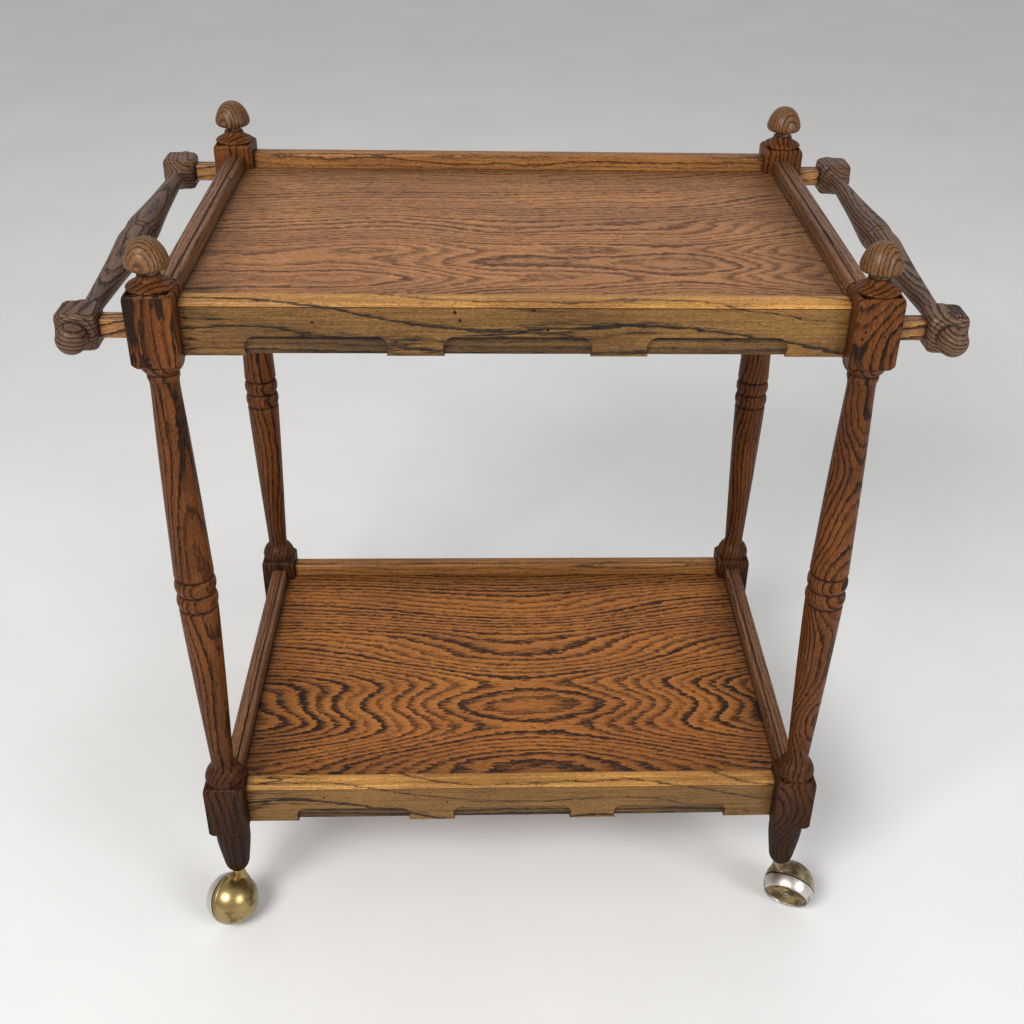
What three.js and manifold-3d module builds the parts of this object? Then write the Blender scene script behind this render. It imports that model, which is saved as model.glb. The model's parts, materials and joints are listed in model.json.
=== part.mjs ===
// Two-tier oak bar cart: turned corner posts with acorn finials, beaded gallery
// rails, two turned push handles and four hooded ball casters.
// Millimetres, Z up. X runs along the cart between the handles, -Y is the front.

import * as THREE from 'three';
import { mergeVertices } from 'three/addons/utils/BufferGeometryUtils.js';
import Module from 'manifold-3d';

const wasm = await Module();
wasm.setup();

// ---------------------------------------------------------------- dimensions

// Clearance left between neighbouring pieces.
const GAP = 0.3;

// Corner posts.
const POST_X = 287;
const POST_Y = 194;
const BLOCK = 38.5;
const BLOCK_EDGE = 1.2;
const FOOT_Z = 62.5;
const LOWER_BLOCK = [125.8, 190.2];
const UPPER_BLOCK = [652, 715.3];
const NECK_Z = 726.5;

// Rails and aprons, measured as distances from the cart's centre planes.
const SIDE_RAIL_X = [276.5, 293.5];
const END_RAIL_Y = [182.5, 199.5];
const TENON = 11;
const TENON_THICK = 9;
const PANEL_THICK = 10;
const TONGUE_THICK = 4;
const TONGUE_REACH = 5;

// The two tiers: underside and top of the rails, and the panel's top face.
const TIERS = [
  { name: 'top', bottom: 658.5, rail: 705.5, apron: 706, panel: 691 },
  { name: 'shelf', bottom: 133.5, rail: 181, apron: 182, panel: 166.5 },
];

// Push handles.
const HANDLE_X = 346;
const HANDLE_Z = 682.7;
const HANDLE_BLOCK = 31.5;
const HANDLE_BLOCK_S = [180.5, 210];
const STRETCHER = 16;
const STRETCHER_TENON = 9;
const STRETCHER_TENON_LENGTH = 12;

// Casters: the ball, its offset behind the swivel and the axle's downward tilt.
const BALL_R = 27;
const TRAIL = 14.5;
const AXLE_TILT = THREE.MathUtils.degToRad(19);
const STEM_R = 4;
const SOCKET_R = 5.5;
const SOCKET_BORE_R = 4.5;
const SOCKET_DEPTH = 36;
const AXLE_R = 2.5;
const AXLE_BORE_R = 2.85;

// Facets around the turned pieces, large and small.
const TURN = 14;
const TURN_SMALL = 12;

// ----------------------------------------------------------------- materials

const material = (color, roughness, metalness) => () =>
  new THREE.MeshStandardMaterial({ color, roughness, metalness });

const DARK_OAK = material(0x5a3320, 0.42, 0);
const GOLDEN_OAK = material(0x7d5a30, 0.45, 0);
const PANEL_OAK = material(0x6e3d25, 0.35, 0);
const BRASS = material(0xb08d3c, 0.3, 1);
const NICKEL = material(0x9c9a92, 0.35, 1);
const STEEL = material(0x77756f, 0.4, 1);

// ------------------------------------------------------------- shape helpers

// A closed three.js geometry as a manifold solid, turned right side out.
function solid(geometry) {
  geometry.deleteAttribute('normal');
  geometry.deleteAttribute('uv');
  const welded = mergeVertices(geometry, 1e-4);
  const position = welded.attributes.position;
  const index = Uint32Array.from(welded.index.array);
  const [a, b, c] = [new THREE.Vector3(), new THREE.Vector3(), new THREE.Vector3()];
  let volume = 0;
  for (let i = 0; i < index.length; i += 3) {
    a.fromBufferAttribute(position, index[i]);
    b.fromBufferAttribute(position, index[i + 1]);
    c.fromBufferAttribute(position, index[i + 2]);
    volume += a.dot(b.cross(c));
  }
  if (volume < 0) {
    for (let i = 0; i < index.length; i += 3) {
      [index[i + 1], index[i + 2]] = [index[i + 2], index[i + 1]];
    }
  }
  const mesh = new wasm.Mesh({
    numProp: 3,
    vertProperties: Float32Array.from(position.array),
    triVerts: index,
  });
  return new wasm.Manifold(mesh);
}

// A solid turned about Z from [radius, z] pairs.
function turned(profile, facets = TURN) {
  const points = profile.map(([radius, z]) => new THREE.Vector2(radius, z));
  const geometry = new THREE.LatheGeometry(points, facets);
  geometry.rotateX(Math.PI / 2);
  return solid(geometry);
}

// A rod or disc about Z.
function rod(radius, low, high, facets = TURN_SMALL) {
  return turned([[0, low], [radius, low], [radius, high], [0, high]], facets);
}

// A box between two corners given as three [low, high] spans.
function box([x0, x1], [y0, y1], [z0, z1]) {
  const geometry = new THREE.BoxGeometry(x1 - x0, y1 - y0, z1 - z0);
  geometry.translate((x0 + x1) / 2, (y0 + y1) / 2, (z0 + z1) / 2);
  return solid(geometry);
}

// An upright square bar about Z with rounded edges.
function squareBar(width, radius, low, high) {
  const half = width / 2;
  const shape = new THREE.Shape();
  shape.moveTo(-half + radius, -half);
  shape.lineTo(half - radius, -half);
  shape.absarc(half - radius, -half + radius, radius, -Math.PI / 2, 0);
  shape.lineTo(half, half - radius);
  shape.absarc(half - radius, half - radius, radius, 0, Math.PI / 2);
  shape.lineTo(-half + radius, half);
  shape.absarc(-half + radius, half - radius, radius, Math.PI / 2, Math.PI);
  shape.lineTo(-half, -half + radius);
  shape.absarc(-half + radius, -half + radius, radius, Math.PI, 1.5 * Math.PI);
  const geometry = new THREE.ExtrudeGeometry(shape, {
    depth: high - low,
    bevelEnabled: false,
    curveSegments: 2,
  });
  geometry.translate(0, 0, low);
  return solid(geometry);
}

// A prism along +X: the section is a list of [y, z] pairs.
function prismX(section, low, high) {
  const shape = new THREE.Shape(section.map(([y, z]) => new THREE.Vector2(y, z)));
  const geometry = new THREE.ExtrudeGeometry(shape, {
    depth: high - low,
    bevelEnabled: false,
  });
  geometry.rotateX(Math.PI / 2);
  geometry.rotateZ(Math.PI / 2);
  geometry.translate(low, 0, 0);
  return solid(geometry);
}

const joinAll = (solids) => solids.reduce((sum, piece) => sum.add(piece));
const cutAll = (body, tools) => tools.reduce((left, tool) => left.subtract(tool), body);

const group = new THREE.Group();
group.name = 'bar_cart';

// Adds a finished piece to the cart, or to a nested group.
function piece(name, body, makeMaterial, parent = group) {
  const { vertProperties, triVerts } = body.getMesh();
  const geometry = new THREE.BufferGeometry();
  geometry.setAttribute('position', new THREE.BufferAttribute(vertProperties, 3));
  geometry.setIndex(new THREE.BufferAttribute(triVerts, 1));
  geometry.computeVertexNormals();
  const mesh = new THREE.Mesh(geometry, makeMaterial());
  mesh.name = name;
  parent.add(mesh);
  return mesh;
}

// ------------------------------------------------------------- corner posts

// The turned outline of a post from its foot up to the neck, as [radius, z].
const POST_PROFILE = [
  [0, FOOT_Z], [7.6, FOOT_Z], [11.8, 69.5], [13.6, 80], [15.4, 93], [17, 105], [17.4, 126],
  [17.4, 192.4], [18.8, 195.4], [18.4, 198.6], [16, 204], [11.8, 209.4], [11, 214],
  [11.3, 226], [13.2, 274], [15.2, 326], [17, 380], [17.6, 403.6],
  [16.2, 406.8], [17.8, 409.4], [18.4, 415], [17.6, 420],
  [15.8, 422.6], [17.6, 425.2], [18.4, 431.5], [17.8, 436.4],
  [16.2, 439], [17.7, 442.2], [17, 466], [15.4, 530], [13.6, 586], [11.9, 628],
  [12.2, 637], [13.2, 640.4], [12.8, 643.2], [14.8, 646.2], [16.8, 650], [17.4, 653],
  [17.4, 717], [18.9, 719.6], [17.2, 721.4], [11.6, 722.6], [9.3, 724.2],
  [9.2, NECK_Z], [0, NECK_Z],
];

// The square blocks keep their corners, softened where the turning meets them.
function postBlock([low, high]) {
  const corner = BLOCK * Math.SQRT1_2;
  const softened = turned([
    [0, low], [corner - 3.6, low], [corner + 0.6, low + 5],
    [corner + 0.6, high - 6], [corner - 3.6, high], [0, high],
  ], 20);
  return squareBar(BLOCK, BLOCK_EDGE, low, high).intersect(softened);
}

// Mortises for a post in the +X, +Y corner, in the post's own frame.
function postMortises() {
  const half = BLOCK / 2;
  const cuts = [];
  for (const tier of TIERS) {
    const z = tenonSpan(tier);
    const rail = middleSpan(SIDE_RAIL_X, TENON_THICK).map((x) => x - POST_X);
    const end = middleSpan(END_RAIL_Y, TENON_THICK).map((y) => y - POST_Y);
    cuts.push(box(grow(rail), [-half - 1, -half + TENON + GAP], grow(z)));
    cuts.push(box([-half - 1, -half + TENON + GAP], grow(end), grow(z)));
  }
  const tenon = [-STRETCHER_TENON / 2, STRETCHER_TENON / 2];
  const height = tenon.map((t) => t + HANDLE_Z);
  cuts.push(box([half - STRETCHER_TENON_LENGTH - GAP, half + 1], grow(tenon), grow(height)));
  return cuts;
}

// A span widened by the clearance at both ends.
function grow([low, high]) {
  return [low - GAP, high + GAP];
}

// The middle of a span, cut down to a width.
function middleSpan([low, high], width) {
  const middle = (low + high) / 2;
  return [middle - width / 2, middle + width / 2];
}

// Height of the tenons at the ends of a tier's rails.
function tenonSpan(tier) {
  return [tier.bottom + 6, tier.rail - 26];
}

const FINIAL_PROFILE = [
  [0, 716.5], [3.9, 716.5], [3.9, NECK_Z + GAP], [9.4, NECK_Z + GAP], [14.2, 729.6],
  [16.7, 733.4], [16.9, 738], [15.6, 744.4], [12, 750.4], [6.6, 754.6], [0, 756],
];

const CORNERS = [
  { name: 'front_left', sx: -1, sy: -1 },
  { name: 'front_right', sx: 1, sy: -1 },
  { name: 'back_left', sx: -1, sy: 1 },
  { name: 'back_right', sx: 1, sy: 1 },
];

const turnedPost = joinAll([turned(POST_PROFILE), postBlock(LOWER_BLOCK), postBlock(UPPER_BLOCK)]);
const post = cutAll(turnedPost, [
  ...postMortises(),
  rod(SOCKET_R + GAP, FOOT_Z - 1, FOOT_Z + SOCKET_DEPTH + GAP),
  rod(3.9 + GAP, 716, NECK_Z + 1),
]);

for (const { name, sx, sy } of CORNERS) {
  const corner = new THREE.Group();
  corner.position.set(sx * POST_X, sy * POST_Y, 0);
  group.add(corner);
  piece(`post_${name}`, handed(post, sx, sy), DARK_OAK, corner);
  piece(`finial_${name}`, turned(FINIAL_PROFILE), DARK_OAK, corner);
}

// A solid mirrored into the corner given by the signs of X and Y.
function handed(body, sx, sy) {
  let result = body;
  if (sx < 0) {
    result = result.mirror([1, 0, 0]);
  }
  if (sy < 0) {
    result = result.mirror([0, 1, 0]);
  }
  return result;
}

// ------------------------------------------------------ rails, aprons, panels

// The groove that takes the panel's tongue, on the rail's inner face.
function panelGroove(tier, inner) {
  const low = tier.panel - PANEL_THICK - GAP;
  return box(
    [-POST_X, POST_X],
    [inner - 1, inner + TONGUE_REACH + GAP],
    [low, low + TONGUE_THICK + 2 * GAP],
  );
}

// A rail along X with its inner face towards -Y: a bead stands along the inner
// top edge behind a narrow quirk.
function beadedRail(tier, [inner, outer], reach) {
  const top = tier.rail;
  const section = [
    [inner, tier.bottom + 1], [inner + 1, tier.bottom], [outer - 1, tier.bottom],
    [outer, tier.bottom + 1], [outer, top - 1.6], [outer - 0.5, top - 0.5],
    [outer - 1.6, top], [inner + 6.2, top], [inner + 6, top - 1.6], [inner + 5.2, top - 1.6],
    [inner + 4.8, top - 0.6], [inner + 3.6, top - 0.1], [inner + 2.2, top - 0.1],
    [inner + 0.7, top - 0.9], [inner, top - 2.6], [inner, top - 4.2],
  ];
  const rail = prismX(section, -reach, reach).add(tenons(tier, [inner, outer], reach));
  return rail.subtract(panelGroove(tier, inner));
}

// The tenons at both ends of a rail or apron.
function tenons(tier, span, reach) {
  const end = reach + TENON;
  return box([-end, end], middleSpan(span, TENON_THICK), tenonSpan(tier));
}

// The front apron: a rounded nosing over a quirk, and three shallow scoops
// that run off its lower edge.
const SCOOPS = [[-219.5, -104.5], [-60.5, 60], [104, 218.5]];
const SCOOP_DEPTH = 5;
const SCOOP_RISE = 17;
const SCOOP_R = 9;

function frontApron(tier, [inner, outer], reach) {
  const top = tier.apron;
  const nose = 3.6;
  const section = [
    [inner, tier.bottom], [outer - 0.8, tier.bottom], [outer, tier.bottom + 0.8],
    [outer, top - 8.2], [outer - 1.3, top - 8.2], [outer - 1.3, top - 7],
    [outer, top - 7],
  ];
  for (let step = 0; step <= 4; step += 1) {
    const angle = (step * Math.PI) / 8;
    const across = outer - nose + nose * Math.cos(angle);
    section.push([across, top - nose + nose * Math.sin(angle)]);
  }
  section.push([inner + 0.8, top], [inner, top - 0.8]);
  const board = prismX(section, -reach, reach);
  const cutters = SCOOPS.map((span) => scoop(span, tier.bottom, outer));
  cutters.push(panelGroove(tier, inner));
  return cutAll(board.add(tenons(tier, [inner, outer], reach)), cutters);
}

// One scoop: a long slot with round ends, centred a little above the lower edge.
function scoop([left, right], bottom, outer) {
  const centre = bottom + SCOOP_RISE - SCOOP_R;
  const shape = new THREE.Shape();
  shape.moveTo(left + SCOOP_R, centre - SCOOP_R);
  shape.lineTo(right - SCOOP_R, centre - SCOOP_R);
  shape.absarc(right - SCOOP_R, centre, SCOOP_R, -Math.PI / 2, Math.PI / 2);
  shape.lineTo(left + SCOOP_R, centre + SCOOP_R);
  shape.absarc(left + SCOOP_R, centre, SCOOP_R, Math.PI / 2, 1.5 * Math.PI);
  const geometry = new THREE.ExtrudeGeometry(shape, {
    depth: SCOOP_DEPTH + 1,
    bevelEnabled: false,
    curveSegments: 7,
  });
  geometry.rotateX(Math.PI / 2);
  geometry.translate(0, outer + 1, 0);
  return solid(geometry);
}

// A panel set inside the four rails, notched around the posts, with a tongue
// along its lower edge.
function panel(tier) {
  const low = tier.panel - PANEL_THICK;
  const x = SIDE_RAIL_X[0] - GAP;
  const y = END_RAIL_Y[0] - GAP;
  const reach = TONGUE_REACH;
  const board = box([-x, x], [-y, y], [low, tier.panel]);
  const tongue = box([-x - reach, x + reach], [-y - reach, y + reach], [low, low + TONGUE_THICK]);
  const notches = CORNERS.map(({ sx, sy }) => {
    const near = [POST_X - BLOCK / 2 - GAP, POST_X + BLOCK];
    const side = [POST_Y - BLOCK / 2 - GAP, POST_Y + BLOCK];
    return box(signed(near, sx), signed(side, sy), [low - 1, tier.panel + 1]);
  });
  return cutAll(board.add(tongue), notches);
}

// A positive span on the side of zero given by the sign.
function signed([low, high], sign) {
  return sign > 0 ? [low, high] : [-high, -low];
}

const LONG_REACH = POST_X - BLOCK / 2 - GAP;
const SHORT_REACH = POST_Y - BLOCK / 2 - GAP;

for (const tier of TIERS) {
  const front = frontApron(tier, END_RAIL_Y, LONG_REACH);
  const back = beadedRail(tier, END_RAIL_Y, LONG_REACH);
  const side = beadedRail(tier, SIDE_RAIL_X, SHORT_REACH);
  piece(`${tier.name}_front_apron`, front.rotate([0, 0, 180]), GOLDEN_OAK);
  piece(`${tier.name}_back_rail`, back, GOLDEN_OAK);
  piece(`${tier.name}_left_rail`, side.rotate([0, 0, 90]), DARK_OAK);
  piece(`${tier.name}_right_rail`, side.rotate([0, 0, -90]), DARK_OAK);
  piece(`${tier.name}_panel`, panel(tier), PANEL_OAK);
}

// --------------------------------------------------------------- push handles

// Half of a handle's turned outline from the middle out to the ball, as
// [radius, distance from the middle].
const HANDLE_HALF = [
  [14.2, 0], [14.2, 2.6], [12.8, 4.7], [14.3, 7], [14.8, 20], [14.1, 34], [12.6, 55],
  [10.9, 83], [9.5, 112], [7.9, 150], [7.9, 167], [10.4, 172.6], [14.2, 177.4], [15.2, 181],
  [15, 210.4], [14.2, 212.4], [9.2, 213.4], [11.5, 216.4], [12.2, 220.6], [10.8, 226.4],
  [6.6, 231], [0, 232.6],
];

function handleBar() {
  const other = HANDLE_HALF.slice(1).reverse().map(([radius, s]) => [radius, -s]);
  const bar = turned([...other, ...HANDLE_HALF], 12);
  const [near, far] = HANDLE_BLOCK_S;
  const corner = HANDLE_BLOCK * Math.SQRT1_2;
  const softened = turned([
    [0, near], [corner - 4.6, near], [corner, near + 6], [corner, far - 6],
    [corner - 4.6, far], [0, far],
  ], 20);
  const block = squareBar(HANDLE_BLOCK, 3, near, far).intersect(softened);
  return joinAll([bar, block, block.mirror([0, 0, 1])]).rotate([-90, 0, 0]);
}

// The bar's mortises face the cart; the stretchers' tenons fill them.
const STRETCHER_X = [POST_X + BLOCK / 2 + GAP, HANDLE_X - HANDLE_BLOCK / 2 - GAP];

for (const { name, sx } of [{ name: 'left', sx: -1 }, { name: 'right', sx: 1 }]) {
  const mortise = [STRETCHER_X[1] - 1, STRETCHER_X[1] + STRETCHER_TENON_LENGTH + 2 * GAP];
  const half = STRETCHER_TENON / 2 + GAP;
  const cuts = [-1, 1].map((sy) => box(
    signed(mortise, sx).map((x) => x - sx * HANDLE_X),
    [sy * POST_Y - half, sy * POST_Y + half],
    [-half, half],
  ));
  const bar = piece(`handle_${name}`, cutAll(handleBar(), cuts), DARK_OAK);
  bar.position.set(sx * HANDLE_X, 0, HANDLE_Z);
}

for (const { name, sx, sy } of CORNERS) {
  const half = STRETCHER_TENON / 2;
  const length = STRETCHER_X[1] - STRETCHER_X[0];
  const bar = squareBar(STRETCHER, 1.2, 0, length).rotate([0, 90, 0]);
  const ends = [-STRETCHER_TENON_LENGTH, length + STRETCHER_TENON_LENGTH];
  const stretcher = bar.add(box(ends, [-half, half], [-half, half]));
  const mesh = piece(`stretcher_${name}`, handed(stretcher, sx, sy), GOLDEN_OAK);
  mesh.position.set(sx * STRETCHER_X[0], sy * POST_Y, HANDLE_Z);
}

// -------------------------------------------------------------------- casters

// Around the ball's centre the axle points along +Z in the wheel's own frame,
// where z is the distance out along the axle and the hood is on the -z side.

const WHEEL_INNER = 0.7;
const WHEEL_OUTER = 12;
const TREAD_BORE_R = 21.9;

// Points of the ball's outline between two distances along the axle.
function ballArc(from, to, steps, radius = BALL_R) {
  const points = [];
  for (let step = 0; step <= steps; step += 1) {
    const z = from + ((to - from) * step) / steps;
    points.push([Math.sqrt(radius * radius - z * z), z]);
  }
  return points;
}

// The tread: the outer zone of the ball, an open ring. The ball rests on the
// circle at the rolling distance.
function tread() {
  const rolling = BALL_R * Math.sin(AXLE_TILT);
  const outline = [
    ...ballArc(WHEEL_INNER, rolling, 2), ...ballArc(rolling, WHEEL_OUTER, 2).slice(1),
    [TREAD_BORE_R + 0.9, WHEEL_OUTER + 0.5], [TREAD_BORE_R, WHEEL_OUTER - 1],
    [TREAD_BORE_R, WHEEL_INNER],
  ];
  return turned([...outline, outline[0]], 20);
}

// The wheel disc: a shallow dish with a raised hub, bored for the axle.
function disc() {
  const edge = TREAD_BORE_R - GAP;
  const outline = [
    [AXLE_BORE_R, 1], [edge, 1], [edge, 10.6], [16, 8.4], [8, 8], [6.4, 9.8],
    [AXLE_BORE_R, 9.8],
  ];
  return turned([...outline, outline[0]], 20);
}

// The axle: a plain pin with a domed head outside the wheel.
function axle() {
  return turned([
    [0, -20], [AXLE_R, -20], [AXLE_R, 10.2], [4.4, 10.2], [3.8, 11.6], [0, 12.4],
  ], TURN_SMALL);
}

// The hood: half a hollow ball with a boss for the axle and a horn that rises
// to the swivel stem. It is built in the cart's frame about the ball's centre.
function hood(tilt) {
  const rim = -0.7;
  const skin = 1.9;
  const outside = [[0, -BALL_R], ...ballArc(-26, rim, 6)];
  const inside = [...ballArc(rim, -23.6, 4, BALL_R - skin), [0, skin - BALL_R]];
  const shell = turned([...outside, ...inside], 20);
  const boss = rod(6, -25.6, -1.6).subtract(rod(AXLE_BORE_R, -21, 0));
  const horn = turned([
    [0, 8], [11.2, 8], [10.6, 13], [9.2, 17.5], [7.5, 22], [6.4, 28], [6, 34], [0, 34],
  ], TURN_SMALL).translate([-TRAIL, 0, 0]);
  const bore = rod(STEM_R + GAP, 15, 35).translate([-TRAIL, 0, 0]);
  const hollow = BALL_R - skin;
  const within = turned([[0, -hollow], ...ballArc(-23.6, 23.6, 8, hollow), [0, hollow]], 20);
  const side = rod(40, -40, rim);
  const bump = horn.subtract(tilt(within)).intersect(tilt(side));
  return joinAll([tilt(shell), tilt(boss), bump]).subtract(bore);
}

// The stem: a pin with a retaining groove near its top.
function stem() {
  const low = 48.4;
  const high = FOOT_Z + 32;
  return turned([
    [0, low], [STEM_R, low], [STEM_R, high - 6], [STEM_R - 0.8, high - 5], [STEM_R - 0.8, high],
    [0, high],
  ], TURN_SMALL);
}

// The socket: a sleeve pressed into the foot with a flange below it.
function socket() {
  const low = FOOT_Z - 1.2;
  const outline = [
    [SOCKET_BORE_R, low], [7.1, low], [7.1, FOOT_Z - GAP], [SOCKET_R, FOOT_Z - GAP],
    [SOCKET_R, FOOT_Z + SOCKET_DEPTH], [SOCKET_BORE_R, FOOT_Z + SOCKET_DEPTH],
  ];
  return turned([...outline, outline[0]], TURN_SMALL);
}

// Heading of each axle, in degrees from +X towards +Y.
const HEADINGS = { front_left: 145, front_right: -115, back_left: 65, back_right: -60 };

// Leans the wheel's frame over so that +Z becomes the axle's direction.
const leaned = (body) => body.rotate([90 + THREE.MathUtils.radToDeg(AXLE_TILT), 0, 0]);

const castings = {
  socket: socket(),
  stem: stem(),
  hood: hood(leaned),
  axle: leaned(axle()),
  tread: leaned(tread()),
  disc: leaned(disc()),
};

// In the caster's own frame the axle heads along -Y and the ball lies on +X.
for (const { name, sx, sy } of CORNERS) {
  const place = new THREE.Group();
  place.position.set(sx * POST_X, sy * POST_Y, 0);
  group.add(place);
  piece(`caster_socket_${name}`, castings.socket, BRASS, place);
  const swivel = new THREE.Group();
  swivel.rotation.z = THREE.MathUtils.degToRad(HEADINGS[name] + 90);
  place.add(swivel);
  piece(`caster_stem_${name}`, castings.stem, STEEL, swivel);
  const ball = new THREE.Group();
  ball.position.set(TRAIL, 0, BALL_R);
  swivel.add(ball);
  piece(`caster_hood_${name}`, castings.hood, BRASS, ball);
  piece(`caster_axle_${name}`, castings.axle, STEEL, ball);
  piece(`caster_tread_${name}`, castings.tread, NICKEL, ball);
  piece(`caster_disc_${name}`, castings.disc, BRASS, ball);
}

export default group;
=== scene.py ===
"""Looks for the two-tier oak bar cart: turned posts, railed tiers, handles and ball casters."""

import json
import math

import bpy
import numpy as np
from mathutils import Matrix, Vector


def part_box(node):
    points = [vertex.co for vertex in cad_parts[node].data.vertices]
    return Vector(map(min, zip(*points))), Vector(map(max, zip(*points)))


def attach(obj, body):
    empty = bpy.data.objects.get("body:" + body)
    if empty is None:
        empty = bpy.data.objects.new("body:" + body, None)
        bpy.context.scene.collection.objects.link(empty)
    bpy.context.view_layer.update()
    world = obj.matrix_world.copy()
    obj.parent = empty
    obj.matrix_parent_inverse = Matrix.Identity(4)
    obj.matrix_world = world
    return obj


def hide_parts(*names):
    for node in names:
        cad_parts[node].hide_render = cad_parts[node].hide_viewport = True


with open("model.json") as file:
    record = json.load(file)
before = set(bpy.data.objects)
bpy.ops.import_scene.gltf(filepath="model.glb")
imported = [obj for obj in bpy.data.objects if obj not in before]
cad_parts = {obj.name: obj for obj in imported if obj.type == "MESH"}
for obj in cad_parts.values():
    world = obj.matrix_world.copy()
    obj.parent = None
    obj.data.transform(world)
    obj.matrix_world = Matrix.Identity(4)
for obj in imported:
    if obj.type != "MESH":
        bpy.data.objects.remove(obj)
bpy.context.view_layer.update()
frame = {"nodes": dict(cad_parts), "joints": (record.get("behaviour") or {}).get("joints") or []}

MM = 0.001
CREASE = 32
CORNERS = ("front_left", "front_right", "back_left", "back_right")
JOINTS = {joint["name"]: joint for joint in frame["joints"]}


# ------------------------------------------------------------ camera and stage

def place_camera():
    """A camera a little above eye height for someone seated, looking down on the cart."""
    yaw, pitch, roll = (math.radians(angle) for angle in (2.69, 31.72, 1.33))
    ahead = Vector((
        math.sin(yaw) * math.cos(pitch), math.cos(yaw) * math.cos(pitch), -math.sin(pitch),
    ))
    level = Vector((math.cos(yaw), -math.sin(yaw), 0))
    upright = level.cross(ahead)
    right = level * math.cos(roll) + upright * math.sin(roll)
    up = upright * math.cos(roll) - level * math.sin(roll)
    data = bpy.data.cameras.new("camera")
    data.sensor_width = 36
    data.lens = 44.36
    data.shift_x = -0.0264
    data.shift_y = -0.026
    camera = bpy.data.objects.new("camera", data)
    turn = Matrix((right, up, -ahead)).transposed().to_4x4()
    camera.matrix_world = Matrix.Translation((-0.0235, -1.1224, 1.107)) @ turn
    bpy.context.scene.collection.objects.link(camera)
    bpy.context.scene.camera = camera


def area_light(name, place, target, size, power, colour=(1, 1, 1)):
    data = bpy.data.lights.new(name, "AREA")
    data.shape = "RECTANGLE"
    data.size, data.size_y = size
    data.energy = power
    data.color = colour
    light = bpy.data.objects.new(name, data)
    light.location = place
    light.rotation_euler = (Vector(target) - Vector(place)).to_track_quat("-Z", "Y").to_euler()
    bpy.context.scene.collection.objects.link(light)


def light_scene():
    world = bpy.data.worlds.new("studio")
    bpy.context.scene.world = world
    world.use_nodes = True
    background = world.node_tree.nodes["Background"]
    background.inputs["Color"].default_value = (1, 0.98, 0.95, 1)
    background.inputs["Strength"].default_value = 0.5
    middle = (0, 0, 0.4)
    area_light("key", (-1.4, -2.1, 2.5), middle, (1.4, 1.1), 88, (1, 0.97, 0.93))
    area_light("fill", (1.9, -1.9, 1.6), middle, (1.2, 1.2), 34, (0.99, 0.99, 1))
    area_light("sky", (0.1, 1.9, 2.3), (0, 0.1, 0.6), (2.2, 1), 6, (0.9, 0.95, 1))
    bpy.context.scene.view_settings.view_transform = "Standard"


def lay_floor():
    reach = 14
    mesh = bpy.data.meshes.new("floor")
    corners = [(-reach, -reach, 0), (reach, -reach, 0), (reach, reach, 0), (-reach, reach, 0)]
    mesh.from_pydata(corners, [], [(0, 1, 2, 3)])
    floor = bpy.data.objects.new("floor", mesh)
    bpy.context.scene.collection.objects.link(floor)
    paint = Shader("floor")
    speckle = paint.noise(paint.coordinates(), 3, 3)
    colour = paint.ramp(speckle, [(0.3, (0.73, 0.74, 0.75)), (0.7, (0.77, 0.78, 0.79))])
    paint.surface(colour, roughness=0.55)
    mesh.materials.append(paint.material)


# --------------------------------------------------------------------- shaders

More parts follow.
